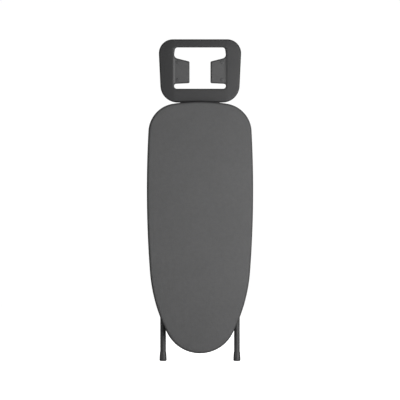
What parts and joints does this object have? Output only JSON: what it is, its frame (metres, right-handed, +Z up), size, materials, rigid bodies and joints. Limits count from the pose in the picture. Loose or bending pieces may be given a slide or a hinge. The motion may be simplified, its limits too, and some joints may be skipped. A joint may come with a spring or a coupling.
{
  "type": "ironing board",
  "caption": "Folding ironing board with a padded cloth cover, crossed tube legs, a height lever and a pressed steel iron rest, folded and upright.",
  "frame": {"origin": "on the floor, in the middle of the width and depth of the folded board", "axes": "+Z up along the folded board's length, -Y out of the ironing surface, +X to the right as seen from the ironing side"},
  "size_m": [0.456, 0.0768, 1.383],
  "materials": {
    "cover_fabric": "plain woven cotton, grey",
    "pad_foam": "needled felt and foam pad",
    "frame_paint": "dark grey powder coat, fine texture",
    "rest_coat": "dark grey powder coat, satin",
    "mesh_paint": "light grey powder coat",
    "zinc_steel": "zinc plated",
    "black_plastic": "moulded, fine grain",
    "foot_plastic": "moulded, satin"
  },
  "bodies": {
    "board": {"cover": "cover_fabric", "pad": "pad_foam", "mesh_top": "mesh_paint", "rim_tube": "frame_paint", "nose_crossbar": "frame_paint", "middle_crossbar": "frame_paint", "tail_crossbar": "frame_paint", "slide_rail_right": "frame_paint", "slide_rail_left": "frame_paint", "pivot_bush_right": "black_plastic", "pivot_bush_left": "black_plastic", "rail_rivets": "zinc_steel", "comb_guides": "black_plastic", "lever_lugs": "zinc_steel", "iron_rest": "rest_coat", "rest_studs": "rest_coat", "stud_washers": "zinc_steel", "rod_clamps": "black_plastic", "clamp_screws": "zinc_steel", "rest_rod_right": "frame_paint", "rest_rod_left": "frame_paint"},
    "outer_leg": {"pivot_tube": "frame_paint", "pivot_tube_plugs": "black_plastic", "outer_brace": "frame_paint", "crossing_bolts": "zinc_steel", "crossing_nuts": "zinc_steel", "outer_tube_plugs": "black_plastic", "outer_tube_right": "frame_paint", "outer_foot_right": "foot_plastic", "outer_tube_left": "frame_paint", "outer_foot_left": "foot_plastic"},
    "inner_leg": {"inner_tube_right": "frame_paint", "inner_foot_right": "foot_plastic", "slider_knuckle_right": "black_plastic", "inner_tube_left": "frame_paint", "inner_foot_left": "foot_plastic", "slider_knuckle_left": "black_plastic", "slider_end_brace": "frame_paint", "foot_end_brace": "frame_paint", "crossing_spacers": "black_plastic", "slider_rod": "zinc_steel", "slider_sleeves": "black_plastic"},
    "release_slide": {"release_comb": "zinc_steel", "release_link": "zinc_steel", "return_spring": "zinc_steel"},
    "height_lever": {"lever_shaft": "zinc_steel", "lever_crank": "zinc_steel", "lever_arm": "zinc_steel", "lever_grip": "black_plastic"}
  },
  "joints": [
    {"name": "outer_leg_fold", "type": "hinge", "parent": "board", "child": "outer_leg", "pos_m": [0, -0.01195, 0.91], "axis": [1, 0, 0], "range_deg": [0, 64]},
    {"name": "inner_leg_fold", "type": "hinge", "parent": "outer_leg", "child": "inner_leg", "pos_m": [0, 0.00975, 0.5425], "axis": [1, 0, 0], "range_deg": [-128, 0]},
    {"name": "height_lever_squeeze", "type": "hinge", "parent": "board", "child": "height_lever", "pos_m": [0.185, -0.01645, 0.83], "axis": [-1, 0, 0], "range_deg": [0, 18], "stiffness_Nm_per_rad": 1.5, "springref_deg": -20.05},
    {"name": "release_travel", "type": "slide", "parent": "board", "child": "release_slide", "axis": [0, 0, -1], "range_m": [0, 0.0065], "deforming": ["return_spring"]}
  ],
  "couplings": [
    {"joint": "inner_leg_fold", "follows": "outer_leg_fold", "ratio": -2},
    {"joint": "release_travel", "follows": "height_lever_squeeze", "m_per_rad": 0.02}
  ]
}
